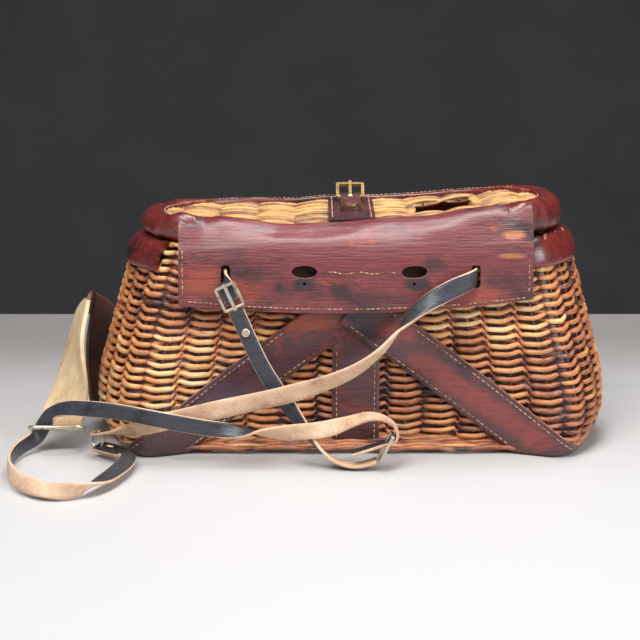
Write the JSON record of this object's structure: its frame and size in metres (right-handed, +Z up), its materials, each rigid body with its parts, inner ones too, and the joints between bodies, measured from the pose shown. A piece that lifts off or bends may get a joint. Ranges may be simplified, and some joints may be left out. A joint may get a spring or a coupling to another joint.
{
  "type": "wicker fishing creel",
  "caption": "Woven willow fishing creel with a leather-bound hinged lid, a fish hole, a buckled closing strap and a leather carrying harness.",
  "frame": {"origin": "on the floor, in the underside of the woven base, under the middle of the basket", "axes": "+Z up; +X to the right when looking at the flat hinged back, which faces -Y; the rounded front faces +Y"},
  "size_m": [0.451, 0.3198, 0.19],
  "materials": {
    "wicker": "varnished willow, red-brown",
    "wicker_border": "varnished willow border",
    "wicker_lid": "golden willow, worn varnish",
    "binding_leather": "dark red-brown, padded, worn",
    "hinge_leather": "dark red-brown, creased, glossy",
    "band_leather": "brown, stitched",
    "strap_leather": "black grain, tan flesh side",
    "pad_leather": "tan flesh side, brown grain side",
    "brass": "tarnished",
    "nickel": "dull nickel, worn",
    "copper": "tarnished copper"
  },
  "bodies": {
    "basket": {"woven_wall": "wicker", "foot_border": "wicker_border", "woven_base": "wicker", "rim_binding": "binding_leather", "diagonal_band_left": "band_leather", "diagonal_band_right": "band_leather", "centre_band": "band_leather", "back_panel": "hinge_leather", "closing_strap_anchor": "band_leather", "strap_carry": "strap_leather", "strap_left": "strap_leather", "strap_long": "strap_leather", "shoulder_pad": "pad_leather", "pad_loop": "nickel", "upper_buckle_frame": "nickel", "lower_buckle_frame": "nickel", "lower_buckle_tongue": "nickel", "strap_rivets": "copper"},
    "lid": {"hinge_flap": "hinge_leather", "lid_panel": "wicker_lid", "lid_binding": "binding_leather", "lid_centre_band": "band_leather", "buckle_chape": "band_leather", "chape_eyelet": "brass"},
    "lid_buckle": {"lid_buckle_frame": "brass"},
    "lid_tongue": {"lid_buckle_tongue": "brass"},
    "closing_strap": {"closing_strap": "band_leather"},
    "upper_tongue": {"upper_buckle_tongue": "nickel"},
    "ring": {"strap_ring": "nickel"}
  },
  "joints": [
    {"name": "lid_hinge", "type": "hinge", "parent": "basket", "child": "lid", "pos_m": [0, -0.0786, 0.16025], "axis": [1, 0, 0], "range_deg": [0, 110]},
    {"name": "lid_buckle_swing", "type": "hinge", "parent": "lid", "child": "lid_buckle", "pos_m": [0, 0.026, 0.1793], "axis": [1, 0, 0], "range_deg": [-18, 70]},
    {"name": "lid_tongue_swing", "type": "hinge", "parent": "lid_buckle", "child": "lid_tongue", "pos_m": [0, 0.026, 0.1793], "axis": [1, 0, 0], "range_deg": [0, 40]},
    {"name": "closing_strap_swing", "type": "hinge", "parent": "basket", "child": "closing_strap", "pos_m": [0, 0.08748, 0.134], "axis": [1, 0, 0], "range_deg": [0, 150]},
    {"name": "upper_tongue_swing", "type": "hinge", "parent": "basket", "child": "upper_tongue", "pos_m": [-0.0869, -0.0924, 0.1138], "axis": [0.9099, 0, 0.4149], "range_deg": [0, 60]},
    {"name": "ring_turn", "type": "hinge", "parent": "basket", "child": "ring", "pos_m": [-0.1914, -0.0901, 0.0125], "axis": [0.676, 0.7369, 0], "continuous": true}
  ]
}
